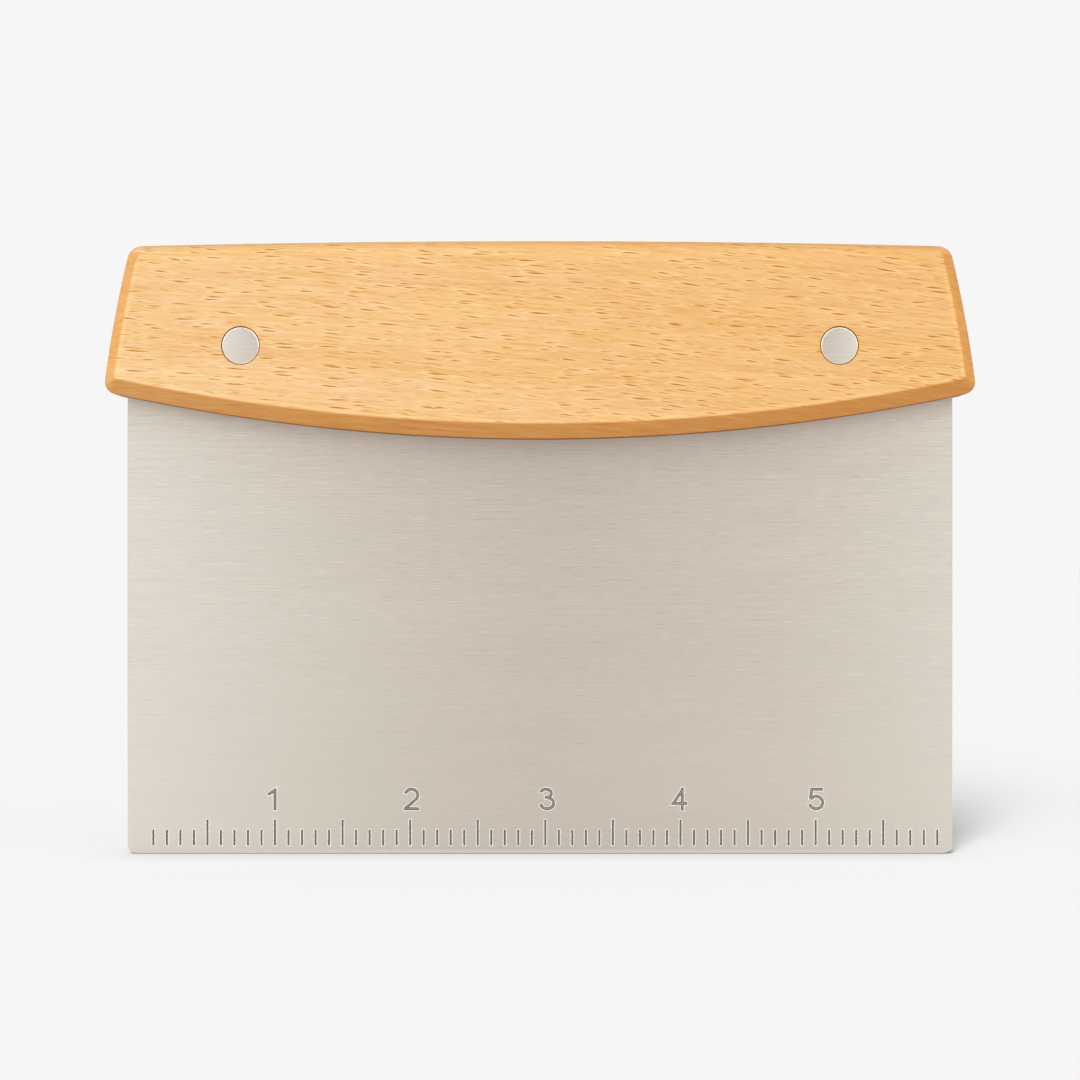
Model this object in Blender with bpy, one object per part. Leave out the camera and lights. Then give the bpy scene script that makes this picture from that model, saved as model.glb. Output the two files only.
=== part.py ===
"""Bench scraper: a steel blade held in the saw kerf of a beech handle by two cutlery rivets.

Frame: the origin is the middle of the scraping edge, +X runs along the blade, +Z up to the handle
and +Y to the back. The ruler is on the front. Lengths are in metres and angles in radians.
"""

import math

import bmesh
import bpy
from mathutils import Vector

MM = 0.001

# Fits
CLEARANCE = 0.3 * MM  # gap from each piece to its neighbour

# Blade
BLADE_WIDTH = 155.0 * MM
BLADE_HEIGHT = 103.5 * MM
BLADE_THICKNESS = 1.0 * MM
CORNER_WIDTH = 2.4 * MM  # of the two rounded bottom corners
CORNER_HEIGHT = 1.3 * MM
EDGE_HEIGHT = 0.8 * MM  # height of the ground bevel along the scraping edge
EDGE_LAND = 0.3 * MM  # thickness left at the very edge
INNER_CORNER = 0.4  # size of the corners where the ground bevel meets the faces, against the edge's

# Ruler engraved in the blade's front
INCH = 25.4 * MM
TICKS_PER_INCH = 10
RULER_INCHES = 6
RULER_ZERO = -75.2 * MM  # X of the ruler's zero, which has no tick of its own
TICK_WIDTH = 0.35 * MM
TICK_FOOT = 1.6 * MM
SHORT_TICK_TOP = 4.5 * MM
LONG_TICK_TOP = 6.4 * MM
DIGIT_FOOT = 8.2 * MM
DIGIT_HEIGHT = 4.2 * MM
DIGIT_STROKE = 0.12  # stroke width, in digit heights
ENGRAVING_DEPTH = 0.12 * MM
ARC_STEPS = 8  # straight pieces in a digit's arc

# Handle outline, seen from the front
HANDLE_BOTTOM = 77.8 * MM  # lowest point of the curved lower edge
HANDLE_TOP = 114.7 * MM  # highest point of the slightly curved top
END_HEIGHT = 99.6 * MM  # half-way up the ends, which bow outwards a little
HANDLE_HALF_WIDTH = 79.2 * MM  # at END_HEIGHT
END_SLOPE = math.radians(10.3)  # how far the ends lean inwards at END_HEIGHT
END_RADIUS = 220.0 * MM
BOTTOM_ARC_RADIUS = 380.0 * MM
TOP_ARC_RADIUS = 3000.0 * MM
BOTTOM_CORNER = 2.2 * MM
TOP_CORNER = 2.8 * MM

# Handle section
HANDLE_THICKNESS = 18.0 * MM
BOTTOM_BEVEL = 2.8 * MM
END_BEVEL = 2.0 * MM
TOP_ROUND = 4.0 * MM
FACE_CORNER = 0.5 * MM  # radius of the flat faces' corners
TOP_ROUND_STEPS = 5
CORNER_STEPS = 5
END_STEPS = 6
BOTTOM_STEPS = 10  # for half of the arc
TOP_STEPS = 4  # for half of the arc

# Kerf
KERF_WIDTH = BLADE_THICKNESS + 2 * CLEARANCE
KERF_TOP = BLADE_HEIGHT + CLEARANCE

# Rivets
RIVET_SPACING = 111.0 * MM
RIVET_HEIGHT = 95.0 * MM
HEAD_RADIUS = 3.5 * MM
HEAD_THICKNESS = 1.0 * MM
HEAD_CHAMFER = 0.2 * MM
HEAD_RECESS = 0.05 * MM  # how far each head lies below the handle's face
TUBE_RADIUS = 2.5 * MM
TUBE_BORE = 1.8 * MM  # radius
PIN_RADIUS = TUBE_BORE - CLEARANCE
TUBE_END_GAP = 2.0 * MM  # from the tube's end to the rear head
PIN_END_GAP = 3.0 * MM  # from the pin's end to the front head's underside
BORE_END_GAP = 0.5 * MM  # from the pin's end to the bottom of the tube's bore
ROUND_STEPS = 32

# Colours, linear
BEECH = (0.80, 0.49, 0.24, 1.0)
BLADE_STEEL = (0.62, 0.58, 0.53, 1.0)
RIVET_STEEL = (0.68, 0.63, 0.57, 1.0)


def clear_scene():
    """Remove whatever the scene holds."""
    for old in list(bpy.data.objects):
        bpy.data.objects.remove(old, do_unlink=True)


def material(name, colour, roughness, metallic):
    """A plain Principled material."""
    mat = bpy.data.materials.new(name)
    mat.use_nodes = True
    shader = mat.node_tree.nodes["Principled BSDF"]
    shader.inputs["Base Color"].default_value = colour
    shader.inputs["Roughness"].default_value = roughness
    shader.inputs["Metallic"].default_value = metallic
    return mat


# Outlines are lists of (x, z) points, anticlockwise as seen from the front.


def arc(centre, radius, start, end, steps):
    """Points along an arc, with both of its ends."""
    angles = [start + (end - start) * i / steps for i in range(steps + 1)]
    return [(centre[0] + radius * math.cos(a), centre[1] + radius * math.sin(a)) for a in angles]


def mirrored(right_half):
    """Close an outline whose right half runs from the bottom centre to the top centre."""
    left_half = [(-x, z) for x, z in reversed(right_half)]
    return right_half + left_half[1:-1]


def meeting_point(centre, distance, other, other_distance):
    """The point furthest to the right that lies at given distances from two centres."""
    span = other - centre
    forward = (distance**2 - other_distance**2 + span.length_squared) / (2 * span.length)
    sideways = math.sqrt(distance**2 - forward**2)
    run = span.normalized()
    normal = Vector((-run.y, run.x))
    points = [centre + run * forward + normal * side * sideways for side in (-1, 1)]
    return max(points, key=lambda point: point.x)


def direction(centre, point):
    """Angle of a point as seen from a centre."""
    return math.atan2(point.y - centre.y, point.x - centre.x)


def handle_outline(bottom_inset, end_inset, top_inset, bottom_corner, top_corner):
    """The handle's outline with its edges moved inwards."""
    bottom_centre = Vector((0, HANDLE_BOTTOM + BOTTOM_ARC_RADIUS))
    top_centre = Vector((0, HANDLE_TOP - TOP_ARC_RADIUS))
    lean = Vector((math.cos(END_SLOPE), math.sin(END_SLOPE)))
    end_centre = Vector((HANDLE_HALF_WIDTH, END_HEIGHT)) - lean * END_RADIUS
    bottom_radius = BOTTOM_ARC_RADIUS - bottom_inset
    top_radius = TOP_ARC_RADIUS - top_inset
    end_radius = END_RADIUS - end_inset
    low = meeting_point(bottom_centre, bottom_radius - bottom_corner, end_centre, end_radius - bottom_corner)
    high = meeting_point(top_centre, top_radius - top_corner, end_centre, end_radius - top_corner)
    low_angle = direction(bottom_centre, low)
    high_angle = direction(top_centre, high)
    end_start = direction(end_centre, low)
    end_stop = direction(end_centre, high)
    bottom = arc(bottom_centre, bottom_radius, -math.pi / 2, low_angle, BOTTOM_STEPS)
    low_corner = arc(low, bottom_corner, low_angle, end_start, CORNER_STEPS)
    end = arc(end_centre, end_radius, end_start, end_stop, END_STEPS)
    high_corner = arc(high, top_corner, end_stop, high_angle, CORNER_STEPS)
    top = arc(top_centre, top_radius, high_angle, math.pi / 2, TOP_STEPS)
    return mirrored(bottom[:-1] + low_corner + end[1:-1] + high_corner[:-1] + top)


def blade_outline(bottom_inset, corner_share):
    """The blade's outline with its bottom edge raised by bottom_inset and its corners scaled."""
    half = BLADE_WIDTH / 2
    width = CORNER_WIDTH * corner_share
    height = CORNER_HEIGHT * corner_share
    turn = arc((0, 0), 1, -math.pi / 2, 0, CORNER_STEPS)
    corner = [(half - width + x * width, bottom_inset + height + z * height) for x, z in turn]
    return mirrored([(0, bottom_inset)] + corner + [(half, BLADE_HEIGHT), (0, BLADE_HEIGHT)])


# Solids


def add_object(name, bm, mat, parent, location=(0, 0, 0)):
    """Put a finished bmesh into the scene as a named object."""
    bmesh.ops.recalc_face_normals(bm, faces=bm.faces)
    mesh = bpy.data.meshes.new(name)
    bm.to_mesh(mesh)
    bm.free()
    mesh.materials.append(mat)
    return place(name, mesh, parent, location)


def place(name, mesh, parent, location):
    """Show a mesh as a named object at a place."""
    obj = bpy.data.objects.new(name, mesh)
    obj.location = location
    obj.parent = parent
    bpy.context.scene.collection.objects.link(obj)
    return obj


def add_loft(bm, rings):
    """Add a solid through rings, each a (y, outline) pair with the same number of points."""
    loops = [[bm.verts.new((x, y, z)) for x, z in outline] for y, outline in rings]
    for first, second in zip(loops, loops[1:]):
        for i in range(len(first)):
            bm.faces.new((first[i - 1], first[i], second[i], second[i - 1]))
    bm.faces.new(loops[0])
    bm.faces.new(reversed(loops[-1]))


def add_turned(bm, profile):
    """Add a solid turned about the Y axis from (radius, y) points that end in flat round faces."""
    angles = [2 * math.pi * i / ROUND_STEPS for i in range(ROUND_STEPS)]
    rings = [(y, [(r * math.cos(a), r * math.sin(a)) for a in angles]) for r, y in profile]
    add_loft(bm, rings)


def make_cutter(name, bm, mat, parent, location=(0, 0, 0)):
    """A hidden solid that takes material away from another."""
    cutter = add_object(name, bm, mat, parent, location)
    cutter.hide_render = True
    cutter.display_type = "WIRE"
    return cutter


def cut(obj, cutter):
    """Take a cutter away from an object."""
    boolean = obj.modifiers.new("cut_" + cutter.name, "BOOLEAN")
    boolean.operation = "DIFFERENCE"
    boolean.object = cutter


# Ruler


def stroke(points, width):
    """Outline of a line of even width through points, with square ends and mitred bends."""
    points = [Vector(p) for p in points]
    runs = [(b - a).normalized() for a, b in zip(points, points[1:])]
    normals = [Vector((-run.y, run.x)) for run in runs]
    befores = [normals[0]] + normals
    afters = normals + [normals[-1]]
    mitres = [(b + a) / (1 + b.dot(a)) * width / 2 for b, a in zip(befores, afters)]
    left = [p + m for p, m in zip(points, mitres)]
    right = [p - m for p, m in zip(points, mitres)]
    return [(p.x, p.y) for p in right + left[::-1]]


def bowl(centre, width, height, start, end):
    """Points along part of an ellipse, from start to end in degrees."""
    circle = arc((0, 0), 1, math.radians(start), math.radians(end), ARC_STEPS)
    return [(centre[0] + x * width / 2, centre[1] + z * height / 2) for x, z in circle]


def digit_strokes(digit):
    """Centre lines of a digit one unit high above its tick at x = 0. A second stroke crosses the first."""
    foot = DIGIT_STROKE / 2
    head = 1 - foot
    if digit == 1:
        return [[(-0.30, 0.70), (0, 0.89), (0, 0)]]
    if digit == 2:
        curve = bowl((0.06, 0.67), 0.56, 2 * (head - 0.67), 165, -35)
        return [curve + [(-0.18, 0.10)], [(-0.27, foot), (0.40, foot)]]
    if digit == 3:
        upper = bowl((0.03, 0.755), 0.48, 2 * (head - 0.755), 165, -75)
        lower = bowl((0.08, 0.31), 0.58, 2 * (0.31 - foot), 85, -170)
        return [upper + [(-0.02, 0.565)], lower]
    if digit == 4:
        return [[(0.08, 0.90), (-0.32, 0.30), (0.29, 0.30)], [(0.08, 0), (0.08, 1)]]
    bar = [(0.32, head), (-0.17, head), (-0.235, 0.51)]
    return [bar, bowl((0.02, 0.34), 0.59, 2 * (0.34 - foot), 145, -165)]


def digit_outlines(digit):
    """A digit's strokes in their place above its tick."""
    centre = RULER_ZERO + digit * INCH
    outlines = []
    for line in digit_strokes(digit):
        points = stroke(line, DIGIT_STROKE)
        outlines.append([(centre + x * DIGIT_HEIGHT, DIGIT_FOOT + z * DIGIT_HEIGHT) for x, z in points])
    return outlines


def tick_outline(index):
    """A tick, which is long at every half inch."""
    x = RULER_ZERO + index * INCH / TICKS_PER_INCH
    top = LONG_TICK_TOP if index % (TICKS_PER_INCH // 2) == 0 else SHORT_TICK_TOP
    return stroke([(x, TICK_FOOT), (x, top)], TICK_WIDTH)


def make_ruler_cutters(mat, parent):
    """Two cutters for the ruler, so that strokes which cross are in different ones."""
    ticks = [tick_outline(i) for i in range(1, RULER_INCHES * TICKS_PER_INCH)]
    digits = [digit_outlines(digit) for digit in range(1, RULER_INCHES)]
    firsts = [outlines[0] for outlines in digits]
    seconds = [outlines[1] for outlines in digits if len(outlines) > 1]
    floor = ENGRAVING_DEPTH - BLADE_THICKNESS / 2
    cutters = []
    for number, outlines in enumerate((ticks + firsts, seconds), start=1):
        bm = bmesh.new()
        for outline in outlines:
            add_loft(bm, [(-BLADE_THICKNESS, outline), (floor, outline)])
        cutters.append(make_cutter(f"ruler_cutter_{number}", bm, mat, parent))
    return cutters


# Pieces


def make_rivet_cutter(mat, parent, side):
    """The counterbored hole that takes a rivet."""
    face = HANDLE_THICKNESS / 2
    shoulder = face - HEAD_RECESS - HEAD_THICKNESS - CLEARANCE
    wide = HEAD_RADIUS + CLEARANCE
    narrow = TUBE_RADIUS + CLEARANCE
    half = [(narrow, shoulder), (wide, shoulder), (wide, face + HEAD_THICKNESS)]
    profile = [(r, -y) for r, y in reversed(half)] + half
    bm = bmesh.new()
    add_turned(bm, profile)
    location = (side * RIVET_SPACING / 2, 0, RIVET_HEIGHT)
    return make_cutter(f"rivet_cutter_{'right' if side > 0 else 'left'}", bm, mat, parent, location)


def make_blade(mat, parent, rivet_cutters):
    """The blade, with its ground edge, rivet holes and ruler."""
    half = BLADE_THICKNESS / 2
    land = EDGE_LAND / 2
    face = blade_outline(EDGE_HEIGHT, INNER_CORNER)
    edge = blade_outline(0, 1)
    bm = bmesh.new()
    add_loft(bm, [(-half, face), (-land, edge), (land, edge), (half, face)])
    blade = add_object("blade", bm, mat, parent)
    for cutter in rivet_cutters + make_ruler_cutters(mat, parent):
        cut(blade, cutter)
    return blade


def handle_ring(depth):
    """The handle's outline at a depth behind its front face, or in front of its rear face."""
    bottom_inset = max(0, BOTTOM_BEVEL - depth)
    end_inset = max(0, END_BEVEL - depth)
    above = max(0, TOP_ROUND - depth)
    top_inset = TOP_ROUND - math.sqrt(TOP_ROUND**2 - above**2)
    blend = min(1, depth / BOTTOM_BEVEL)
    bottom_corner = FACE_CORNER + blend * (BOTTOM_CORNER - FACE_CORNER)
    top_corner = FACE_CORNER + blend * (TOP_CORNER - FACE_CORNER)
    return handle_outline(bottom_inset, end_inset, top_inset, bottom_corner, top_corner)


def make_handle(mat, parent, rivet_cutters):
    """The handle, with its bevels, kerf and counterbored holes."""
    turns = [math.pi / 2 * i / TOP_ROUND_STEPS for i in range(TOP_ROUND_STEPS + 1)]
    depths = sorted([TOP_ROUND * (1 - math.cos(turn)) for turn in turns] + [END_BEVEL, BOTTOM_BEVEL])
    front = [(depth - HANDLE_THICKNESS / 2, handle_ring(depth)) for depth in depths]
    rear = [(-y, outline) for y, outline in reversed(front)]
    bm = bmesh.new()
    add_loft(bm, front + rear)
    handle = add_object("handle", bm, mat, parent)

    half = KERF_WIDTH / 2
    reach = 2 * HANDLE_HALF_WIDTH
    slot = [(-reach, 0), (reach, 0), (reach, KERF_TOP), (-reach, KERF_TOP)]
    bm = bmesh.new()
    add_loft(bm, [(-half, slot), (half, slot)])
    for cutter in [make_cutter("kerf_cutter", bm, mat, parent)] + rivet_cutters:
        cut(handle, cutter)
    return handle


def rivet_half_profiles():
    """Profiles of the front half, a head with a tube, and of the rear half, a head with a pin."""
    face = HANDLE_THICKNESS / 2 - HEAD_RECESS
    under = face - HEAD_THICKNESS
    rim = HEAD_RADIUS - HEAD_CHAMFER
    tube_end = under - TUBE_END_GAP
    pin_end = under - PIN_END_GAP
    bore_end = pin_end + BORE_END_GAP
    head = [(rim, face), (HEAD_RADIUS, face - HEAD_CHAMFER), (HEAD_RADIUS, under)]
    front_head = [(r, -y) for r, y in head]
    tube = [(TUBE_RADIUS, -under), (TUBE_RADIUS, tube_end), (TUBE_BORE, tube_end), (TUBE_BORE, -bore_end)]
    pin = [(PIN_RADIUS, under), (PIN_RADIUS, -pin_end)]
    return front_head + tube, head + pin


def make_rivets(mat, parent):
    """Two cutlery rivets, each of a front and a rear half."""
    for half, profile in zip(("front", "rear"), rivet_half_profiles()):
        bm = bmesh.new()
        add_turned(bm, profile)
        left = (-RIVET_SPACING / 2, 0, RIVET_HEIGHT)
        first = add_object(f"left_rivet_{half}", bm, mat, parent, left)
        first.data.shade_smooth()
        first.data.set_sharp_from_angle(angle=math.radians(30))
        place(f"right_rivet_{half}", first.data, parent, (-left[0], left[1], left[2]))


def make_scraper():
    """Build the whole scraper under one empty."""
    clear_scene()
    root = bpy.data.objects.new("bench_scraper", None)
    bpy.context.scene.collection.objects.link(root)
    beech = material("beech", BEECH, 0.5, 0.0)
    blade_steel = material("blade_steel", BLADE_STEEL, 0.35, 1.0)
    rivet_steel = material("rivet_steel", RIVET_STEEL, 0.3, 1.0)
    rivet_cutters = [make_rivet_cutter(rivet_steel, root, side) for side in (-1, 1)]
    make_blade(blade_steel, root, rivet_cutters)
    make_handle(beech, root, rivet_cutters)
    make_rivets(rivet_steel, root)


make_scraper()
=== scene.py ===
"""Looks of the bench scraper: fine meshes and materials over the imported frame, on a pale studio floor.

Everything is in metres, in the frame's axes: +X along the blade, +Y to the back, +Z up. Each fine piece
takes its size and place from the CAD node that it replaces.
"""

import math

import bmesh
import bpy
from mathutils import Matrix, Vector


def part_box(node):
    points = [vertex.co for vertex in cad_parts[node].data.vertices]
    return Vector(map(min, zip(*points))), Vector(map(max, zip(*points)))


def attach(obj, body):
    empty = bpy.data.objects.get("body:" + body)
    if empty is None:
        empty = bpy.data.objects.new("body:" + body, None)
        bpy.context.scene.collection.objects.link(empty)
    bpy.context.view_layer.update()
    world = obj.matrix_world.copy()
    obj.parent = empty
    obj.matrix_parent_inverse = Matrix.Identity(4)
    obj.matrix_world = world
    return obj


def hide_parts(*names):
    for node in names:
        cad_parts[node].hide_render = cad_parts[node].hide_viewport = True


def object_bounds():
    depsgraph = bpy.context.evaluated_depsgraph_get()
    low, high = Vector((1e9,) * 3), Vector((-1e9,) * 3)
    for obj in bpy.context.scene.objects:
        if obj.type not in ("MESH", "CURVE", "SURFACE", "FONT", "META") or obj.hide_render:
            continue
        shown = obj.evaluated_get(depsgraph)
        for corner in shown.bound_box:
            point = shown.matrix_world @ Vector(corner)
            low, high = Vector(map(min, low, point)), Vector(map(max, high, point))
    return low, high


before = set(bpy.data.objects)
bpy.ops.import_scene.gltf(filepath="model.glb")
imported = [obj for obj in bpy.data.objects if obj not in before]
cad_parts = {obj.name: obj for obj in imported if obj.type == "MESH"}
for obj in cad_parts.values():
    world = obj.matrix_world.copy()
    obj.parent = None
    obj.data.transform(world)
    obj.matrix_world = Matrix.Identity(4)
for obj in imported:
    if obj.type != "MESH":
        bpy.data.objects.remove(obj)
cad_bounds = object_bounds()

MM = 0.001

# Handle: how its bevels and corners run inside the CAD node's box
END_HEIGHT = 99.6 * MM
END_INSET = 1.72 * MM  # how much further in the ends are at END_HEIGHT than at their widest
END_SLOPE = math.radians(10.3)
END_RADIUS = 220 * MM
BOTTOM_ARC_RADIUS = 380 * MM
TOP_ARC_RADIUS = 3000 * MM
BOTTOM_CORNER = 2.2 * MM
TOP_CORNER = 2.8 * MM
FACE_CORNER = 0.6 * MM
BOTTOM_BEVEL = 2.8 * MM
END_BEVEL = 2.0 * MM
TOP_ROUND = 4.0 * MM
EDGE_EASING = 0.3 * MM  # how far the sanded edges of a bevel are rounded
FLAT_MARGIN = 0.4 * MM  # flat strip inside each face's edge, which keeps its shading even
ARRIS_HIGHLIGHT_STOP = 1.0 * MM  # the painted highlight on the eased edges ends this far below the rounding of the top
KERF_GAP = 0.12 * MM  # between the wood and the blade

# Blade
EDGE_HEIGHT = 0.8 * MM
EDGE_LAND = 0.3 * MM
ARRIS_HEIGHT = 0.08 * MM  # darker strip at the very edge: painted shade where the blade meets the floor
CORNER_WIDTH = 2.4 * MM
CORNER_HEIGHT = 1.3 * MM
INNER_CORNER = 0.4  # size of the ground bevel's inner corners, against the edge's
SIDE_BREAK = 0.1 * MM  # chamfer that takes the burr off the sides

# Ruler
INCH = 25.4 * MM
TICKS_PER_INCH = 10
RULER_INCHES = 6
RULER_ZERO = -75.2 * MM
TICK_FOOT = 1.6 * MM
SHORT_TICK_TOP = 4.5 * MM
LONG_TICK_TOP = 6.4 * MM
DIGIT_FOOT = 8.2 * MM
DIGIT_HEIGHT = 4.2 * MM
TICK_WIDTH = 0.36 * MM
DIGIT_WIDTH = 0.52 * MM
GROOVE_DEPTH = 0.12 * MM
GROOVE_SLOPE = 0.13 * MM  # width of each sloping wall, seen from the front
RIM_WIDTH = 0.17 * MM  # bright burnished strip around each groove
RIM_DEPTH = 0.008 * MM

# Rivets
HEAD_THICKNESS = 1.0 * MM
HEAD_SEAT = 1.2 * MM  # depth of the counterbore below the handle's face
HEAD_CHAMFER = 0.25 * MM
HEAD_DOME = 0.009 * MM  # how much the head falls from its flat middle to its chamfer
HEAD_FLAT = 0.96  # size of the flat middle, against the chamfer's inner edge
HEAD_BULGE = (0.55, 0.35)  # how far out and in the chamfer's rounded middle lies, against its size
TUBE_RADIUS = 2.5 * MM
BORE_RADIUS = 1.8 * MM
PIN_RADIUS = 1.5 * MM
HOLE_GAP = 0.07 * MM  # round each head
HOLE_EASING = 0.08 * MM  # worn edge of the hole in the wood
SHANK_GAP = 0.1 * MM

# Meshes
CUTTER_REACH = 1.0 * MM  # how far cutters stick out on each side
BROAD_FACE = 200 * MM * MM  # flat faces larger than this are shaded quite flat
CORNER_STEPS = 12
BOTTOM_STEPS = 48
TOP_STEPS = 12
END_STEPS = 24
BEVEL_STEPS = 4
ROUND_STEPS = 128
ARC_STEPS = 24

# Beech. Drifts, blushes and tints are factors on the wood's colour; the bevel, underside and top tints are
# painted shade.
WOOD_GAIN = 0.775  # brightness of the wood's colours
ARRIS_HIGHLIGHT_GAIN = 1.07  # painted highlight: the eased edges of the bevels are a little lighter
GRAIN_FALL = 0.08  # how fast the grain falls towards +X in the middle
GRAIN_BEND = 0.14  # how much faster for each metre further right
GRAIN_WAVER = 2.2 * MM  # how far the grain wanders
GRAIN_SKEW = 0.12  # how fast the grain shifts towards the back
GRAIN_RELIEF = 0.025 * MM
LYING = 0.75  # faces that look up or down more than this take their grain along y
LARGE_FLECKS = {"length": 4.6 * MM, "width": 0.37 * MM, "cell": 2.05}
SMALL_FLECKS = {"length": 3.4 * MM, "width": 0.26 * MM, "cell": 1.9}
SMALL_FLECK_SHIFT = 0.31  # keeps the two patterns of flecks apart
FLECK_SHARE = 0.2  # flecks whose random weight is below this are faint
CUT_FADING = 0.8  # how much of the flecks is lost on faces cut across the grain
DRIFT_REACH = 80 * MM  # distance from the middle at which the drifts are in full
LEFT_DRIFT = (1.02, 1.06, 1.15, 1)
RIGHT_DRIFT = (0.975, 0.915, 0.80, 1)
WARM_BLUSH = (1.0, 1.0, 0.95, 1)
COOL_BLUSH = (1.0, 0.985, 1.04, 1)
# Painted shade: darker and redder on faces that look down, much darker on the underside, darker on faces that
# look up
BEVEL_PAINTED_SHADE = (0.865, 0.64, 0.39, 1)
UNDERSIDE_PAINTED_SHADE = (0.42, 0.33, 0.24, 1)
TOP_PAINTED_SHADE = (0.88, 0.82, 0.70, 1)
END_TINT = (0.95, 0.77, 0.52, 1)

# Steel
BRUSHED_REACH = 80 * MM  # height over which the blade's brushing grows stronger
POLISHED_REACH = 78 * MM  # distance from the middle over which the blade grows smoother
BRUSHING_RELIEF = 0.002 * MM

# Camera
CAMERA_DISTANCE = 600 * MM
CAMERA_HEIGHT = 58.97 * MM
VIEW_WIDTH = 203.14 * MM  # width of the frame at the blade
SENSOR_WIDTH = 36.0

# Floor
FLOOR_HALF_SIZE = 20.0
FLOOR_DROP = 0.02 * MM  # keeps the floor clear of the edge that stands on it
FLOOR_ALBEDO = 0.25
FLOOR_GLOW = 0.137  # strength of the floor's own faint light
FLOOR_GLOW_TINT = (1.0, 1.01, 1.05, 1)  # makes up for the warm light that the wood sends down
CONTACT_REACH = 17 * MM  # how close to the floor a thing has to be to shade it
CONTACT_SHADE = 0.35  # how much darker the floor is right under a thing

# Light from all round. Each panel fades in between two bearings, in degrees from the camera towards +X.
DOME_COLOUR = (0.75, 0.75, 0.75, 1)
PANEL_COLOUR = (1.1, 1.1, 1.1, 1)
STEEL_DOME_COLOUR = (0.735, 0.687, 0.679, 1)  # what the steel reflects between the panels
STEEL_PANEL_COLOUR = (1.52, 1.67, 1.72, 1)
LEFT_PANEL = (0.5, -14.5)
RIGHT_PANEL = (4.0, 13.5)

# Lamps. Azimuths run from the camera towards -X.
KEY_LIGHT = 1.2
KEY_SPREAD = math.radians(22)
KEY_AZIMUTH = math.radians(19)
KEY_ELEVATION = math.radians(33)
TALL_LIGHT = 6.4  # strength of the light for the floor alone
TALL_AZIMUTH = math.radians(9.5)
TALL_SPREAD = math.radians(14)
TALL_ELEVATIONS = {22: 0.12, 34: 0.26, 47: 0.34, 61: 0.28}  # degrees, and the share of the light from there


# Colours


def linear(red, green, blue, gain=1.0):
    """A linear colour from 8-bit sRGB values."""

    def decode(value):
        value /= 255
        return value / 12.92 if value <= 0.04045 else ((value + 0.055) / 1.055) ** 2.4

    return tuple(gain * decode(value) for value in (red, green, blue)) + (1.0,)


# Node trees


class Nodes:
    """Short ways to write a node tree. An input is a value or another node's output."""

    def __init__(self, tree):
        self.tree = tree
        tree.nodes.clear()

    def add(self, kind, inputs=None, **settings):
        node = self.tree.nodes.new(kind)
        for name, value in settings.items():
            setattr(node, name, value)
        for name, value in (inputs or {}).items():
            self.feed(node.inputs[name], value)
        return node

    def feed(self, socket, value):
        if isinstance(value, bpy.types.NodeSocket):
            self.tree.links.new(value, socket)
        else:
            socket.default_value = value

    def math(self, operation, first, second=0.0, third=0.0, clamp=False):
        values = {0: first, 1: second, 2: third}
        return self.add("ShaderNodeMath", values, operation=operation, use_clamp=clamp).outputs[0]

    def vector(self, x, y, z):
        return self.add("ShaderNodeCombineXYZ", {"X": x, "Y": y, "Z": z}).outputs[0]

    def split(self, vector):
        node = self.add("ShaderNodeSeparateXYZ", {"Vector": vector})
        return node.outputs["X"], node.outputs["Y"], node.outputs["Z"]

    def ramp(self, value, low, high, to_low=0.0, to_high=1.0, smooth=False):
        """Map a value from one range to another, clamped."""
        inputs = {"Value": value, "From Min": low, "From Max": high, "To Min": to_low, "To Max": to_high}
        kind = "SMOOTHSTEP" if smooth else "LINEAR"
        return self.add("ShaderNodeMapRange", inputs, interpolation_type=kind).outputs["Result"]

    def noise(self, vector, detail, scale=1.0):
        inputs = {"Vector": vector, "Scale": scale, "Detail": detail}
        return self.add("ShaderNodeTexNoise", inputs).outputs["Fac"]

    def stretched_noise(self, place, scales, detail):
        """Noise whose three coordinates are each multiplied by their own scale."""
        parts = [self.math("MULTIPLY", value, scale) for value, scale in zip(place, scales)]
        return self.noise(self.vector(*parts), detail)

    def tinted(self, factor, colour, tint):
        """A colour, multiplied by a tint where the factor is 1."""
        return self.mix(factor, colour, self.mix(1.0, colour, tint, "MULTIPLY"))

    def colour_ramp(self, value, stops):
        node = self.add("ShaderNodeValToRGB", {"Fac": value})
        elements = node.color_ramp.elements
        while len(elements) < len(stops):
            elements.new(0.5)
        for element, (position, colour) in zip(elements, stops):
            element.position = position
            element.color = colour
        return node.outputs["Color"]

    def mix(self, factor, first, second, blend="MIX"):
        node = self.add("ShaderNodeMix", data_type="RGBA", blend_type=blend)
        self.feed(node.inputs[0], factor)
        self.feed(node.inputs[6], first)
        self.feed(node.inputs[7], second)
        return node.outputs[2]

    def bump(self, height, distance, strength):
        inputs = {"Height": height, "Distance": distance, "Strength": strength}
        return self.add("ShaderNodeBump", inputs).outputs["Normal"]


def new_material(name):
    """An empty material, its node helper and the place on the object in metres."""
    mat = bpy.data.materials.new(name)
    mat.use_nodes = True
    nodes = Nodes(mat.node_tree)
    place = nodes.add("ShaderNodeTexCoord").outputs["Object"]
    return mat, nodes, place


def finish_material(nodes, inputs):
    """Add the Principled shader and the output."""
    shader = nodes.add("ShaderNodeBsdfPrincipled", inputs)
    nodes.add("ShaderNodeOutputMaterial", {"Surface": shader.outputs["BSDF"]})


# Beech


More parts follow.
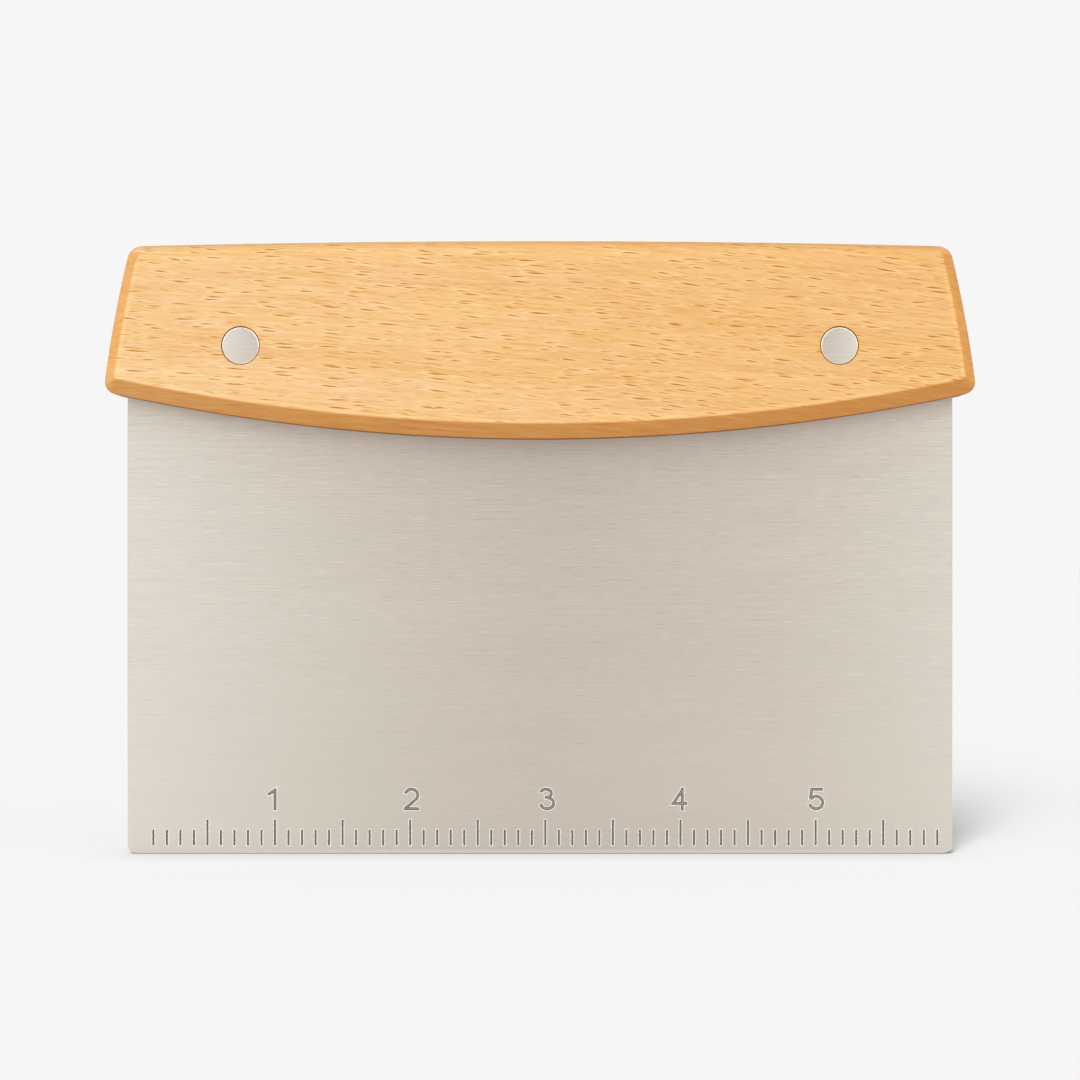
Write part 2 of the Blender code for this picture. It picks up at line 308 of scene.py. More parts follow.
def fleck_layer(nodes, x, w, length, width, cell):
    """Ends of the rays: dark spindles along x, pointed and with a longer tail to the right.

    Each cell of the pattern holds one spindle and is cell times as long and as wide as it.
    """
    along = nodes.math("DIVIDE", x, length * cell)
    across = nodes.math("DIVIDE", w, width * cell)
    inputs = {"Vector": nodes.vector(along, across, 0.0), "Scale": 1.0}
    cells = nodes.add("ShaderNodeTexVoronoi", inputs, voronoi_dimensions="2D")
    centre_x, centre_w, _ = nodes.split(cells.outputs["Position"])
    size, weight, lean = nodes.split(cells.outputs["Color"])

    # u and v are offsets from the spindle's middle, in half-lengths and half-widths.
    shrink = nodes.ramp(size, 0.0, 1.0, 3.4 * cell, 1.7 * cell)
    u = nodes.math("MULTIPLY", nodes.math("SUBTRACT", along, centre_x), shrink)
    narrowing = nodes.math("MULTIPLY_ADD", shrink, 0.5, cell)
    v = nodes.math("MULTIPLY", nodes.math("SUBTRACT", across, centre_w), narrowing)
    tilt = nodes.math("MULTIPLY", nodes.math("MULTIPLY_ADD", lean, 1.6, -0.6), u)
    v = nodes.math("ABSOLUTE", nodes.math("ADD", v, tilt))
    tail = nodes.ramp(u, -0.1, 0.1, 1.35, 0.75)
    u = nodes.math("ABSOLUTE", nodes.math("MULTIPLY", u, tail))

    # A dark core, with a thin lighter border round it
    reach = nodes.math("ADD", nodes.math("POWER", u, 1.5), v)
    core = nodes.ramp(reach, 1.15, 0.25, smooth=True)
    outer = nodes.ramp(reach, 2.6, 1.6, 0.0, 0.36, smooth=True)
    border = nodes.math("MULTIPLY", outer, nodes.ramp(reach, 0.9, 1.4))
    shape = nodes.math("SUBTRACT", core, border)
    return nodes.math("MULTIPLY", shape, nodes.ramp(weight, FLECK_SHARE, 1.0, 0.12, 1.0))


def beech_material(name, gain):
    """Steamed beech: pale orange, with fine fibre, soft bands and many short dark ray flecks."""
    mat, nodes, place = new_material(name)
    x, y, z = nodes.split(place)
    normal_x, _, normal_z = nodes.split(nodes.add("ShaderNodeNewGeometry").outputs["True Normal"])
    downwards = nodes.math("MULTIPLY", normal_z, -1.0)
    below = nodes.ramp(downwards, 0.2, 0.6, smooth=True)
    ends = nodes.ramp(nodes.math("ABSOLUTE", normal_x), 0.3, 0.7, smooth=True)

    # w is the distance across the grain: up the faces and ends, and along y on the top and the underside.
    # The grain falls towards +X, more so at the right, and wavers.
    lying = nodes.math("GREATER_THAN", nodes.math("ABSOLUTE", normal_z), LYING)
    z = nodes.math("MULTIPLY_ADD", lying, nodes.math("SUBTRACT", y, z), z)
    fall = nodes.math("MULTIPLY", x, nodes.math("MULTIPLY_ADD", x, GRAIN_BEND, GRAIN_FALL))
    slow = nodes.stretched_noise((x, y, z), (22, 30, 60), 1.0)
    waver = nodes.math("MULTIPLY_ADD", slow, GRAIN_WAVER, -GRAIN_WAVER / 2)
    w = nodes.math("ADD", nodes.math("ADD", z, fall), waver)
    w = nodes.math("MULTIPLY_ADD", y, GRAIN_SKEW, w)

    def streaks(scales, detail):
        return nodes.math("SUBTRACT", nodes.stretched_noise((x, y, w), scales, detail), 0.5)

    bands = streaks((9, 60, 190), 3.0)
    fibre = streaks((170, 900, 2800), 1.0)
    threads = streaks((70, 500, 2500), 1.0)
    shifted = nodes.math("ADD", x, SMALL_FLECK_SHIFT)
    visible = nodes.math("MULTIPLY_ADD", nodes.math("MAXIMUM", below, ends), -CUT_FADING, 1.0)
    large = nodes.math("MULTIPLY", fleck_layer(nodes, x, w, **LARGE_FLECKS), visible)
    small = nodes.math("MULTIPLY", fleck_layer(nodes, shifted, w, **SMALL_FLECKS), visible)

    tone = nodes.math("MULTIPLY_ADD", bands, 0.40, 0.66)
    for layer, strength in ((fibre, 0.62), (threads, 0.46), (large, -0.88), (small, -0.48)):
        tone = nodes.math("MULTIPLY_ADD", layer, strength, tone)
    colour = nodes.colour_ramp(tone, [
        (0.0, linear(204, 134, 50, gain)),
        (0.25, linear(226, 162, 84, gain)),
        (0.62, linear(244, 194, 128, gain)),
        (1.0, linear(255, 216, 160, gain)),
    ])
    blush = nodes.stretched_noise((x, y, w), (40, 90, 300), 1.0)
    hue = nodes.mix(nodes.ramp(blush, 0.35, 0.65), WARM_BLUSH, COOL_BLUSH)
    colour = nodes.mix(1.0, colour, hue, "MULTIPLY")
    drift = nodes.mix(nodes.ramp(x, -DRIFT_REACH, DRIFT_REACH), LEFT_DRIFT, RIGHT_DRIFT)
    colour = nodes.mix(1.0, colour, drift, "MULTIPLY")

    # Painted shade: faces that look down are darker and redder, the underside darker still, and faces that
    # look up darker too.
    colour = nodes.tinted(below, colour, BEVEL_PAINTED_SHADE)
    colour = nodes.tinted(nodes.ramp(downwards, 0.85, 0.97, smooth=True), colour, UNDERSIDE_PAINTED_SHADE)
    colour = nodes.tinted(nodes.ramp(normal_z, 0.5, 0.98, smooth=True), colour, TOP_PAINTED_SHADE)
    # The ends cut the grain, drink more oil and are darker and redder.
    colour = nodes.tinted(ends, colour, END_TINT)

    height = nodes.math("MULTIPLY_ADD", large, -0.8, nodes.math("MULTIPLY_ADD", fibre, 0.5, threads))
    finish_material(nodes, {
        "Base Color": colour,
        "Roughness": nodes.ramp(tone, 0.2, 1.0, 0.62, 0.48),
        "Specular IOR Level": 0.2,
        "Normal": nodes.bump(height, GRAIN_RELIEF, 0.6),
    })
    return mat


# Steel


def steel_material(name, colour, roughness, contrast, polish=0.0, relief=(1.0, 1.0)):
    """Stainless sheet brushed along x, so that reflections spread up and down.

    Towards its sides it is smoother by polish. relief is how strong the brushing is low down and high up.
    """
    mat, nodes, place = new_material(name)
    x, y, z = nodes.split(place)

    def lines(along, across, offset):
        vector = nodes.vector(nodes.math("MULTIPLY", x, along), nodes.math("MULTIPLY_ADD", y, 60, offset),
                              nodes.math("MULTIPLY", z, across))
        return nodes.math("SUBTRACT", nodes.noise(vector, 2.0), 0.5)

    scratches = lines(330, 6500, 0.0)
    strokes = lines(60, 3200, 7.0)
    patches = lines(14, 120, 13.0)
    marks = nodes.math("MULTIPLY_ADD", strokes, 0.7, scratches)
    # Faint marks fade and strong ones stand out.
    strength = nodes.math("MULTIPLY_ADD", nodes.math("ABSOLUTE", marks), 3.0, 0.25)
    marks = nodes.math("MULTIPLY", marks, strength)
    marks = nodes.math("MULTIPLY", marks, nodes.ramp(z, 0.0, BRUSHED_REACH, *relief))
    shade = nodes.math("MULTIPLY_ADD", marks, contrast, 1.0)
    shade = nodes.math("MULTIPLY_ADD", patches, 0.06, shade)
    tint = nodes.mix(1.0, colour, nodes.vector(shade, shade, shade), "MULTIPLY")
    outwards = nodes.math("ABSOLUTE", x)
    dullness = nodes.ramp(outwards, 0.0, POLISHED_REACH, roughness, roughness - polish)
    finish_material(nodes, {
        "Base Color": tint,
        "Metallic": 1.0,
        "Roughness": nodes.math("MULTIPLY_ADD", marks, 0.03, dullness),
        "Anisotropic": 1.0,
        "Tangent": nodes.add("ShaderNodeTangent", direction_type="RADIAL", axis="X").outputs[0],
        "Normal": nodes.bump(marks, BRUSHING_RELIEF, 0.05),
    })
    return mat


def plain_steel_material(name, colour, roughness, metallic):
    """Steel without brushing, for the engraving and for the painted shade on the very edge, with a little
    unevenness.
    """
    mat, nodes, place = new_material(name)
    speckle = nodes.noise(place, 3.0, scale=2500)
    shade = nodes.ramp(speckle, 0.3, 0.7, 0.85, 1.15)
    tint = nodes.mix(1.0, colour, nodes.vector(shade, shade, shade), "MULTIPLY")
    finish_material(nodes, {
        "Base Color": tint,
        "Metallic": metallic,
        "Roughness": nodes.ramp(speckle, 0.3, 0.7, roughness - 0.08, roughness + 0.08),
    })
    return mat


MATERIALS = {
    "beech": beech_material("beech", WOOD_GAIN),
    # Lighter beech for the bevels' eased edges and flat margins: a painted highlight
    "arris": beech_material("beech_arris", WOOD_GAIN * ARRIS_HIGHLIGHT_GAIN),
    "blade": steel_material("blade_steel", linear(225, 215, 202), roughness=0.385, contrast=0.30,
                            polish=0.08, relief=(0.35, 2.0)),
    "ground": steel_material("ground_steel", linear(255, 239, 228), roughness=0.42, contrast=0.1),
    # Dark steel for the very edge: painted shade where the blade meets the floor
    "painted_shade": plain_steel_material("painted_shade_edge", linear(120, 108, 98), roughness=0.5, metallic=0.8),
    "rivet": steel_material("rivet_steel", linear(230, 219, 207), roughness=0.385, contrast=0.25),
    "rim": plain_steel_material("burnished_rim", linear(246, 240, 230), roughness=0.3, metallic=1.0),
    "wall": plain_steel_material("engraved_wall", linear(70, 61, 52), roughness=0.6, metallic=0.5),
    "floor": plain_steel_material("engraved_floor", linear(156, 146, 133), roughness=0.6, metallic=0.6),
}


# Outlines are lists of (x, z) points, anticlockwise as seen from the front.


def arc(centre, radius, start, end, steps):
    """Points along an arc, with both of its ends."""
    angles = [start + (end - start) * i / steps for i in range(steps + 1)]
    return [(centre[0] + radius * math.cos(a), centre[1] + radius * math.sin(a)) for a in angles]


def mirrored(right_half):
    """Close an outline whose right half runs from the bottom centre to the top centre."""
    left_half = [(-point[0],) + tuple(point[1:]) for point in reversed(right_half)]
    return right_half + left_half[1:-1]


def meeting_point(centre, distance, other, other_distance):
    """The point furthest to the right that lies at given distances from two centres."""
    span = other - centre
    forward = (distance**2 - other_distance**2 + span.length_squared) / (2 * span.length)
    sideways = math.sqrt(distance**2 - forward**2)
    run = span.normalized()
    normal = Vector((-run.y, run.x))
    points = [centre + run * forward + normal * side * sideways for side in (-1, 1)]
    return max(points, key=lambda point: point.x)


def direction(centre, point):
    """Angle of a point as seen from a centre."""
    return math.atan2(point.y - centre.y, point.x - centre.x)


def bevel_profile(size):
    """(inset, depth) points of a flat 45 degree bevel with eased edges, from the face inwards."""
    ease = EDGE_EASING
    slant = ease * math.sqrt(0.5)

    def blend(a, b, c):
        turns = [i / BEVEL_STEPS for i in range(BEVEL_STEPS + 1)]
        return [tuple((1 - t) ** 2 * p + 2 * t * (1 - t) * q + t * t * r for p, q, r in zip(a, b, c))
                for t in turns]

    outer = blend((size + ease, 0), (size, 0), (size - slant, slant))
    inner = blend((slant, size - slant), (0, size), (0, size + ease))
    return outer + inner


def round_profile(radius, count):
    """(inset, depth) points of a quarter round."""
    turns = [math.pi / 2 * i / (count - 1) for i in range(count)]
    return [(radius * (1 - math.sin(t)), radius * (1 - math.cos(t))) for t in turns]


# Solids


def add_loft(bm, loops, materials=(0,)):
    """Add a closed solid through loops of (x, y, z) points.

    materials are the strips' slots in turn. The last one also serves any further strips and the last cap,
    and the first cap has slot 0.
    """
    rows = [[bm.verts.new(point) for point in loop] for loop in loops]
    strips = list(zip(rows, rows[1:]))
    for number, (first, second) in enumerate(strips):
        for i in range(len(first)):
            face = bm.faces.new((first[i - 1], first[i], second[i], second[i - 1]))
            face.material_index = materials[min(number, len(materials) - 1)]
    bm.faces.new(rows[0])
    bm.faces.new(reversed(rows[-1])).material_index = materials[-1]


def flat(outline, y):
    """An outline as a loop in the plane at y."""
    return [(x, y, z) for x, z in outline]


def add_turned(bm, profile, centre, materials=(0,)):
    """Add a solid turned about a line along Y from (radius, y) points."""
    angles = [2 * math.pi * i / ROUND_STEPS for i in range(ROUND_STEPS)]
    loops = [[(centre.x + r * math.cos(a), y, centre.z + r * math.sin(a)) for a in angles]
             for r, y in profile]
    add_loft(bm, loops, materials)


def make_object(name, bm, *materials):
    """Put a finished bmesh into the scene."""
    bmesh.ops.recalc_face_normals(bm, faces=bm.faces)
    mesh = bpy.data.meshes.new(name)
    bm.to_mesh(mesh)
    bm.free()
    for mat in materials:
        mesh.materials.append(MATERIALS[mat])
    obj = bpy.data.objects.new(name, mesh)
    bpy.context.scene.collection.objects.link(obj)
    return obj


def carve(obj, cutters):
    """Cut solids out of an object for good, and remove them."""
    for cutter in cutters:
        boolean = obj.modifiers.new("cut", "BOOLEAN")
        boolean.operation = "DIFFERENCE"
        boolean.object = cutter
        boolean.material_mode = "TRANSFER"
    graph = bpy.context.evaluated_depsgraph_get()
    carved = bpy.data.meshes.new_from_object(obj.evaluated_get(graph), depsgraph=graph)
    obj.modifiers.clear()
    obj.data = carved
    carved.name = obj.name
    for cutter in cutters:
        bpy.data.objects.remove(cutter)


def show(obj, node, crease=25):
    """Shade a piece smooth between its creases and let it stand for a CAD node."""
    mesh = obj.data
    mesh.shade_smooth()
    mesh.set_sharp_from_angle(angle=math.radians(crease))
    # Broad flat faces keep their own normals right up to their edges.
    rims = {key for face in mesh.polygons if face.area > BROAD_FACE for key in face.edge_keys}
    for edge in mesh.edges:
        edge.use_edge_sharp = edge.use_edge_sharp or edge.key in rims
    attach(obj, "root")
    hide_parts(node)


def corners(node):
    """A CAD node's lowest and highest corner."""
    low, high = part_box(node)
    return Vector(low), Vector(high)


def rivet_places():
    """Centre and head radius of each rivet."""
    places = {}
    for side in ("left", "right"):
        low, high = corners(f"{side}_rivet_front")
        places[side] = ((low + high) / 2, (high.x - low.x) / 2)
    return places


# Handle


def handle_loop(half_width, bottom_z, top_z, bottom, end, top, corner_share, front):
    """One loop of the handle. bottom, end and top are (inset, depth) pairs; front is the face's y.

    corner_share is 0 for the small corners of the face and 1 for the full corners.
    """
    low_corner = FACE_CORNER + corner_share * (BOTTOM_CORNER - FACE_CORNER)
    high_corner = FACE_CORNER + corner_share * (TOP_CORNER - FACE_CORNER)
    bottom_centre = Vector((0, bottom_z + BOTTOM_ARC_RADIUS))
    top_centre = Vector((0, top_z - TOP_ARC_RADIUS))
    lean = Vector((math.cos(END_SLOPE), math.sin(END_SLOPE)))
    end_centre = Vector((half_width - END_INSET, END_HEIGHT)) - lean * END_RADIUS
    bottom_radius = BOTTOM_ARC_RADIUS - bottom[0]
    top_radius = TOP_ARC_RADIUS - top[0]
    end_radius = END_RADIUS - end[0]
    low = meeting_point(bottom_centre, bottom_radius - low_corner, end_centre, end_radius - low_corner)
    high = meeting_point(top_centre, top_radius - high_corner, end_centre, end_radius - high_corner)
    low_angle = direction(bottom_centre, low)
    high_angle = direction(top_centre, high)
    end_start = direction(end_centre, low)
    end_stop = direction(end_centre, high)

    stretches = [
        (arc(bottom_centre, bottom_radius, -math.pi / 2, low_angle, BOTTOM_STEPS)[:-1], bottom, bottom),
        (arc(low, low_corner, low_angle, end_start, CORNER_STEPS), bottom, end),
        (arc(end_centre, end_radius, end_start, end_stop, END_STEPS)[1:-1], end, end),
        (arc(high, high_corner, end_stop, high_angle, CORNER_STEPS)[:-1], end, top),
        (arc(top_centre, top_radius, high_angle, math.pi / 2, TOP_STEPS), top, top),
    ]
    right_half = []
    for points, first, last in stretches:
        for i, (x, z) in enumerate(points):
            share = i / (len(points) - 1)
            depth = first[1] + (last[1] - first[1]) * share
            right_half.append((x, z, depth))
    return [(x, front + depth, z) for x, z, depth in mirrored(right_half)]


def make_handle():
    """The beech handle, with its sanded bevels, kerf and rivet holes."""
    low, high = corners("handle")
    blade_low, blade_high = corners("blade")
    front, back = low.y, high.y
    middle = (front + back) / 2
    half_width = (high.x - low.x) / 2
    bottoms = bevel_profile(BOTTOM_BEVEL)
    ends = bevel_profile(END_BEVEL)
    tops = round_profile(TOP_ROUND, len(bottoms))
    margin = [(inset + FLAT_MARGIN, 0) for inset, depth in (bottoms[0], ends[0], tops[0])]
    rows = [margin] + list(zip(bottoms, ends, tops))

    loops = []
    for number, (bottom, end, top) in enumerate(rows):
        share = min(1.0, bottom[1] / BOTTOM_BEVEL)
        loops.append(handle_loop(half_width, low.z, high.z, bottom, end, top, share, front))
    loops += [[(x, 2 * middle - y, z) for x, y, z in loop] for loop in reversed(loops)]
    bm = bmesh.new()
    # The flat margin and the eased outer edge of each bevel take the lighter beech, a painted highlight.
    edges = (1,) * (BEVEL_STEPS + 1)
    middle_strips = (0,) * (len(loops) - 1 - 2 * len(edges))
    add_loft(bm, loops, materials=edges + middle_strips + edges + (0,))
    # No painted highlight near the rounding of the top.
    for face in bm.faces:
        if face.calc_center_median().z > high.z - TOP_ROUND - ARRIS_HIGHLIGHT_STOP:
            face.material_index = 0
    handle = make_object("beech_handle", bm, "beech", "arris")

    kerf = blade_high.y + KERF_GAP
    wide = high.x * 2
    roof = blade_high.z + KERF_GAP
    slot = [(-wide, 0), (wide, 0), (wide, roof), (-wide, roof)]
    bm = bmesh.new()
    add_loft(bm, [flat(slot, -kerf), flat(slot, kerf)])
    cutters = [make_object("kerf", bm, "beech")]
    for side, (centre, radius) in rivet_places().items():
        hole = radius + HOLE_GAP
        shank = TUBE_RADIUS + SHANK_GAP
        seat = back - HEAD_SEAT
        easing = [(hole, back - HOLE_EASING), (hole + 2 * HOLE_EASING, back + HOLE_EASING)]
        half = [(shank, seat), (hole, seat)] + easing
        profile = [(r, 2 * middle - y) for r, y in reversed(half)] + half
        bm = bmesh.new()
        add_turned(bm, profile, centre)
        cutters.append(make_object(f"{side}_hole", bm, "beech"))
    carve(handle, cutters)
    show(handle, "handle")


# Blade and ruler


def blade_outline(width, top, bottom_inset, side_inset, corner_share):
    """The blade's outline with its bottom and sides moved inwards and its corners scaled."""
    half = width / 2 - side_inset
    corner_width = CORNER_WIDTH * corner_share
    corner_height = CORNER_HEIGHT * corner_share
    turn = arc((0, 0), 1, -math.pi / 2, 0, CORNER_STEPS)
    corner = [(half + (x - 1) * corner_width, bottom_inset + (z + 1) * corner_height) for x, z in turn]
    return mirrored([(0, bottom_inset)] + corner + [(half, top), (0, top)])


def stroke(points, width, extra):
    """Outline of a line of even width through points, longer by extra at both ends."""
    points = [Vector(p) for p in points]
    runs = [(b - a).normalized() for a, b in zip(points, points[1:])]
    points[0] = points[0] - runs[0] * extra
    points[-1] = points[-1] + runs[-1] * extra
    normals = [Vector((-run.y, run.x)) for run in runs]
    befores = [normals[0]] + normals
    afters = normals + [normals[-1]]
    mitres = [(b + a) / (1 + b.dot(a)) * width / 2 for b, a in zip(befores, afters)]
    left = [p + m for p, m in zip(points, mitres)]
    right = [p - m for p, m in zip(points, mitres)]
    return [(p.x, p.y) for p in right + left[::-1]]


def bowl(centre, width, height, start, end):
    """Points along part of an ellipse, from start to end in degrees."""
    circle = arc((0, 0), 1, math.radians(start), math.radians(end), ARC_STEPS)
    return [(centre[0] + x * width / 2, centre[1] + z * height / 2) for x, z in circle]


def digit_strokes(digit):
    """Centre lines of a digit one unit high above its tick at x = 0. A second stroke crosses the first."""
    foot = DIGIT_WIDTH / DIGIT_HEIGHT / 2
    head = 1 - foot
    if digit == 1:
        return [[(-0.30, 0.70), (0, 0.89), (0, 0)]]
    if digit == 2:
        curve = bowl((0.06, 0.67), 0.56, 2 * (head - 0.67), 165, -35)
        return [curve + [(-0.18, 0.10)], [(-0.27, foot), (0.40, foot)]]
    if digit == 3:
        upper = bowl((0.03, 0.755), 0.48, 2 * (head - 0.755), 165, -75)
        lower = bowl((0.08, 0.31), 0.58, 2 * (0.31 - foot), 85, -170)
        return [upper + [(-0.02, 0.565)], lower]
    if digit == 4:
        return [[(0.08, 0.90), (-0.32, 0.30), (0.29, 0.30)], [(0.08, 0), (0.08, 1)]]
    bar = [(0.32, head), (-0.17, head), (-0.235, 0.51)]
    return [bar, bowl((0.02, 0.34), 0.59, 2 * (0.34 - foot), 145, -165)]


def ruler_lines():
    """(points, width) of every stroke, in two sets, so that strokes which cross are in different ones."""
    firsts, seconds = [], []
    for index in range(1, RULER_INCHES * TICKS_PER_INCH):
        x = RULER_ZERO + index * INCH / TICKS_PER_INCH
        top = LONG_TICK_TOP if index % (TICKS_PER_INCH // 2) == 0 else SHORT_TICK_TOP
        firsts.append(([(x, TICK_FOOT), (x, top)], TICK_WIDTH))
    for digit in range(1, RULER_INCHES):
        tick = RULER_ZERO + digit * INCH
        for strokes, line in zip((firsts, seconds), digit_strokes(digit)):
            points = [(tick + x * DIGIT_HEIGHT, DIGIT_FOOT + z * DIGIT_HEIGHT) for x, z in line]
            strokes.append((points, DIGIT_WIDTH))
    return firsts, seconds


def groove_cutter(name, lines, face):
    """Cutter for grooves with a bright rim, sloping dark walls and a floor."""
    bm = bmesh.new()
    for points, width in lines:
        rim = stroke(points, width + 2 * RIM_WIDTH, RIM_WIDTH)
        mouth = stroke(points, width, 0)
        bed = stroke(points, width - 2 * GROOVE_SLOPE, -GROOVE_SLOPE)
        loops = [flat(rim, face - CUTTER_REACH), flat(rim, face + RIM_DEPTH),
                 flat(mouth, face + 1.5 * RIM_DEPTH), flat(bed, face + GROOVE_DEPTH)]
        add_loft(bm, loops, materials=(0, 0, 1, 2))
    return make_object(name, bm, "rim", "wall", "floor")


def make_blade():
    """The blade, with its ground edge, rivet holes and engraved ruler."""
    low, high = corners("blade")
    width, top = high.x - low.x, high.z
    half = (high.y - low.y) / 2
    middle = (high.y + low.y) / 2
    land = EDGE_LAND / 2
    slant = (half - land) / EDGE_HEIGHT
    levels = [(EDGE_HEIGHT, SIDE_BREAK), (EDGE_HEIGHT - SIDE_BREAK / slant, 0), (ARRIS_HEIGHT, 0), (0, 0)]
    front = []
    for level, side_inset in levels:
        share = 1 - (1 - INNER_CORNER) * level / EDGE_HEIGHT
        front.append(flat(blade_outline(width, top, level, side_inset, share), middle - land - slant * level))
    rear = [[(x, 2 * middle - y, z) for x, y, z in loop] for loop in reversed(front)]
    bm = bmesh.new()
    # The lowest strips and the land take the dark steel, a painted shade along the bottom.
    add_loft(bm, front + rear, materials=(1, 1, 2, 2, 2, 1, 1, 0))
    # Only the bottom edge is ground.
    for face in bm.faces:
        if face.calc_center_median().z > EDGE_HEIGHT + CORNER_HEIGHT:
            face.material_index = 0
    blade = make_object("steel_blade", bm, "blade", "ground", "painted_shade")

    cutters = [groove_cutter(f"grooves_{i}", lines, low.y) for i, lines in enumerate(ruler_lines())]
    for side, (centre, radius) in rivet_places().items():
        reach = TUBE_RADIUS + SHANK_GAP
        bm = bmesh.new()
        add_turned(bm, [(reach, -CUTTER_REACH), (reach, CUTTER_REACH)], centre)
        cutters.append(make_object(f"{side}_bore", bm, "blade"))
    carve(blade, cutters)
    show(blade, "blade", crease=8)


# Rivets


def make_rivet_half(node, outwards):
    """Half a rivet. outwards is -1 for the front half, with a tube, and 1 for the rear, with a pin."""
    low, high = corners(node)
    centre = (low + high) / 2
    radius = (high.x - low.x) / 2
    face = high.y if outwards > 0 else -low.y
    inner = -low.y if outwards > 0 else high.y
    under = face - HEAD_THICKNESS
    crown = radius - HEAD_CHAMFER
    bulge = (crown + HEAD_CHAMFER * HEAD_BULGE[0], face - HEAD_CHAMFER * HEAD_BULGE[1])
    head = [(crown * HEAD_FLAT, face), (crown, face - HEAD_DOME), bulge, (radius, face - HEAD_CHAMFER),
            (radius, under)]
    tube = [(TUBE_RADIUS, under), (TUBE_RADIUS, -inner), (BORE_RADIUS, -inner), (BORE_RADIUS, under)]
    pin = [(PIN_RADIUS, under), (PIN_RADIUS, -inner)]
    shank = tube if outwards < 0 else pin
    profile = [(r, outwards * y) for r, y in head + shank]
    bm = bmesh.new()
    add_turned(bm, profile, centre, materials=(0, 1, 1, 0))
    piece = make_object(node + "_steel", bm, "rivet", "rim")
    show(piece, node)


make_handle()
make_blade()
for side in ("left", "right"):
    make_rivet_half(f"{side}_rivet_front", -1)
    make_rivet_half(f"{side}_rivet_rear", 1)


# Studio

BACKDROP = linear(246, 246, 246)


def make_camera():
    """A level camera in front of the blade."""
    data = bpy.data.cameras.new("camera")
    data.sensor_width = SENSOR_WIDTH
    data.lens = SENSOR_WIDTH * CAMERA_DISTANCE / VIEW_WIDTH
    camera = bpy.data.objects.new("camera", data)
    camera.location = (0, -CAMERA_DISTANCE, CAMERA_HEIGHT)
    camera.rotation_euler = (math.pi / 2, 0, 0)
    bpy.context.scene.collection.objects.link(camera)
    bpy.context.scene.camera = camera


def make_floor():
    """A pale floor that melts into the backdrop and can be looked through from underneath."""
    bm = bmesh.new()
    bmesh.ops.create_grid(bm, x_segments=1, y_segments=1, size=FLOOR_HALF_SIZE)
    mesh = bpy.data.meshes.new("floor")
    bm.to_mesh(mesh)
    bm.free()
    mat, nodes, _ = new_material("floor")
    openness = nodes.add("ShaderNodeAmbientOcclusion", {"Distance": CONTACT_REACH}, samples=8).outputs["AO"]
    shade = nodes.ramp(openness, 0.0, 1.0, 1.0 - CONTACT_SHADE, 1.0)
    white = nodes.vector(shade, shade, shade)
    albedo = nodes.mix(1.0, (FLOOR_ALBEDO,) * 3 + (1,), white, "MULTIPLY")
    diffuse = nodes.add("ShaderNodeBsdfDiffuse", {"Color": albedo})
    tinted = nodes.mix(1.0, FLOOR_GLOW_TINT, white, "MULTIPLY")
    glow = nodes.add("ShaderNodeEmission", {"Color": tinted, "Strength": FLOOR_GLOW})
    both = nodes.add("ShaderNodeAddShader", {0: diffuse.outputs[0], 1: glow.outputs[0]})
    clear = nodes.add("ShaderNodeBsdfTransparent")
    underneath = nodes.add("ShaderNodeNewGeometry").outputs["Backfacing"]
    surface = nodes.add("ShaderNodeMixShader", {0: underneath, 1: both.outputs[0], 2: clear.outputs[0]})
    nodes.add("ShaderNodeOutputMaterial", {"Surface": surface.outputs[0]})
    mesh.materials.append(mat)
    floor = bpy.data.objects.new("floor", mesh)
    floor.location.z = cad_bounds[0][2] - FLOOR_DROP
    bpy.context.scene.collection.objects.link(floor)


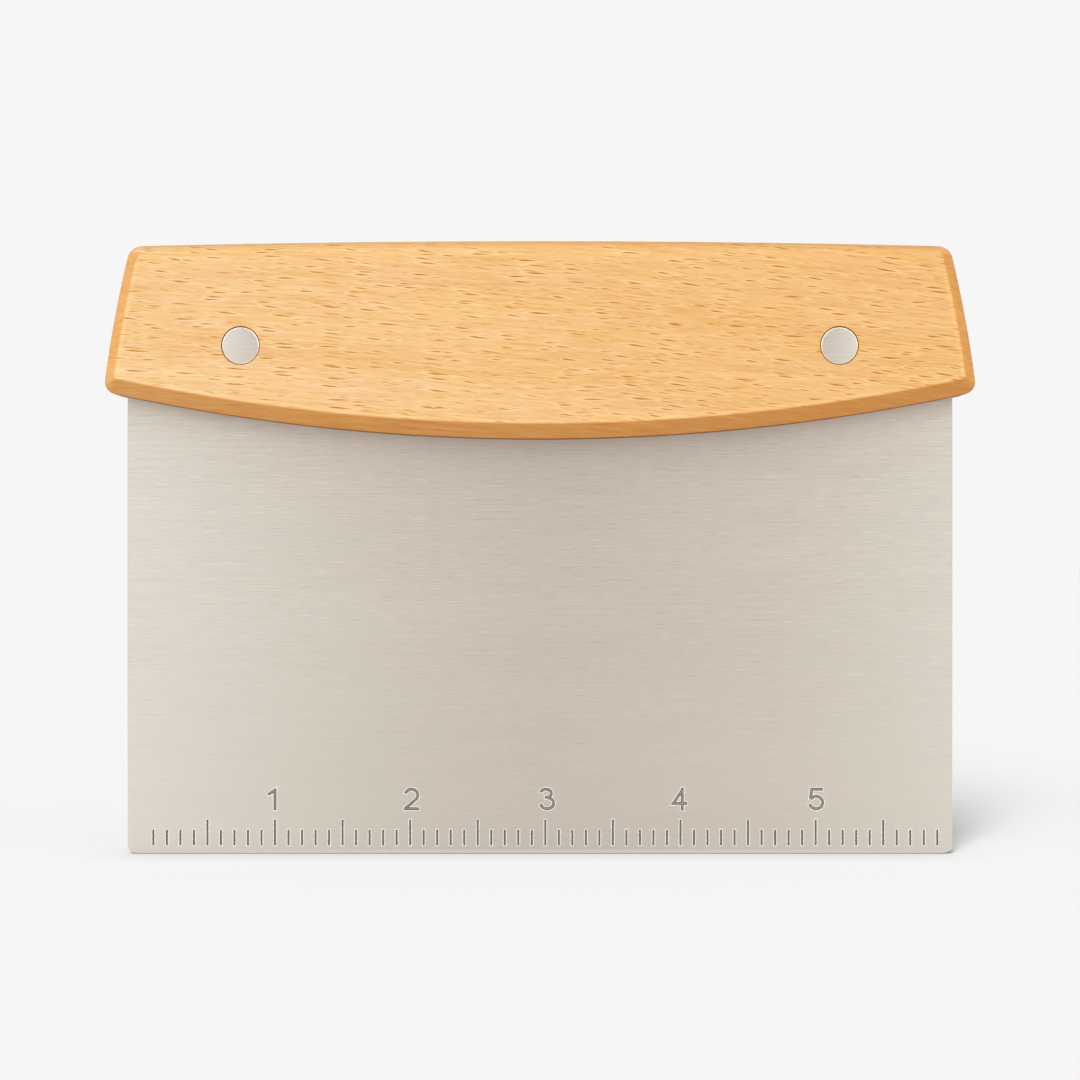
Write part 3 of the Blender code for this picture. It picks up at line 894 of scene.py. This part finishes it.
def make_world():
    """Soft light from all round, brighter from two wide panels beside the camera, before a plain backdrop."""
    world = bpy.data.worlds.new("studio")
    world.use_nodes = True
    bpy.context.scene.world = world
    nodes = Nodes(world.node_tree)
    way = nodes.add("ShaderNodeTexCoord").outputs["Generated"]
    x, y, z = nodes.split(way)
    # Bearing in degrees, from the camera towards +X
    angle = nodes.math("MULTIPLY", nodes.math("ARCTAN2", x, nodes.math("MULTIPLY", y, -1.0)), 180 / math.pi)
    left = nodes.ramp(angle, *LEFT_PANEL, smooth=True)
    right = nodes.ramp(angle, *RIGHT_PANEL, smooth=True)
    # The panels are in front only.
    front = nodes.ramp(y, 0.1, -0.3, smooth=True)
    panels = nodes.math("MULTIPLY", nodes.math("ADD", left, right, clamp=True), front)
    soft = nodes.mix(panels, DOME_COLOUR, PANEL_COLOUR)
    mirrored_light = nodes.mix(panels, STEEL_DOME_COLOUR, STEEL_PANEL_COLOUR)
    path = nodes.add("ShaderNodeLightPath")
    light = nodes.mix(path.outputs["Is Glossy Ray"], soft, mirrored_light)
    colour = nodes.mix(path.outputs["Is Camera Ray"], light, BACKDROP)
    back = nodes.add("ShaderNodeBackground", {"Color": colour, "Strength": 1.0})
    nodes.add("ShaderNodeOutputWorld", {"Surface": back.outputs[0]})


def make_sun(name, energy, azimuth, elevation, spread):
    """A soft light from the left in front, kept out of the steel's reflections."""
    data = bpy.data.lights.new(name, "SUN")
    data.energy = energy
    data.angle = spread
    sun = bpy.data.objects.new(name, data)
    to_light = Vector((-math.sin(azimuth) * math.cos(elevation), -math.cos(azimuth) * math.cos(elevation),
                       math.sin(elevation)))
    sun.rotation_euler = to_light.to_track_quat("Z", "Y").to_euler()
    sun.visible_glossy = False
    bpy.context.scene.collection.objects.link(sun)
    return sun


def make_lights():
    """The key light, and a tall light for the floor alone that draws the soft shadow."""
    make_sun("key", KEY_LIGHT, KEY_AZIMUTH, KEY_ELEVATION, KEY_SPREAD)
    lit = bpy.data.collections.new("lit_by_tall_light")
    lit.objects.link(bpy.data.objects["floor"])
    for number, (degrees, share) in enumerate(TALL_ELEVATIONS.items()):
        elevation = math.radians(degrees)
        energy = TALL_LIGHT * share / math.sin(elevation)
        sun = make_sun(f"tall_{number}", energy, TALL_AZIMUTH, elevation, TALL_SPREAD)
        sun.light_linking.receiver_collection = lit


make_camera()
make_floor()
make_world()
make_lights()
bpy.context.scene.view_settings.view_transform = "Standard"
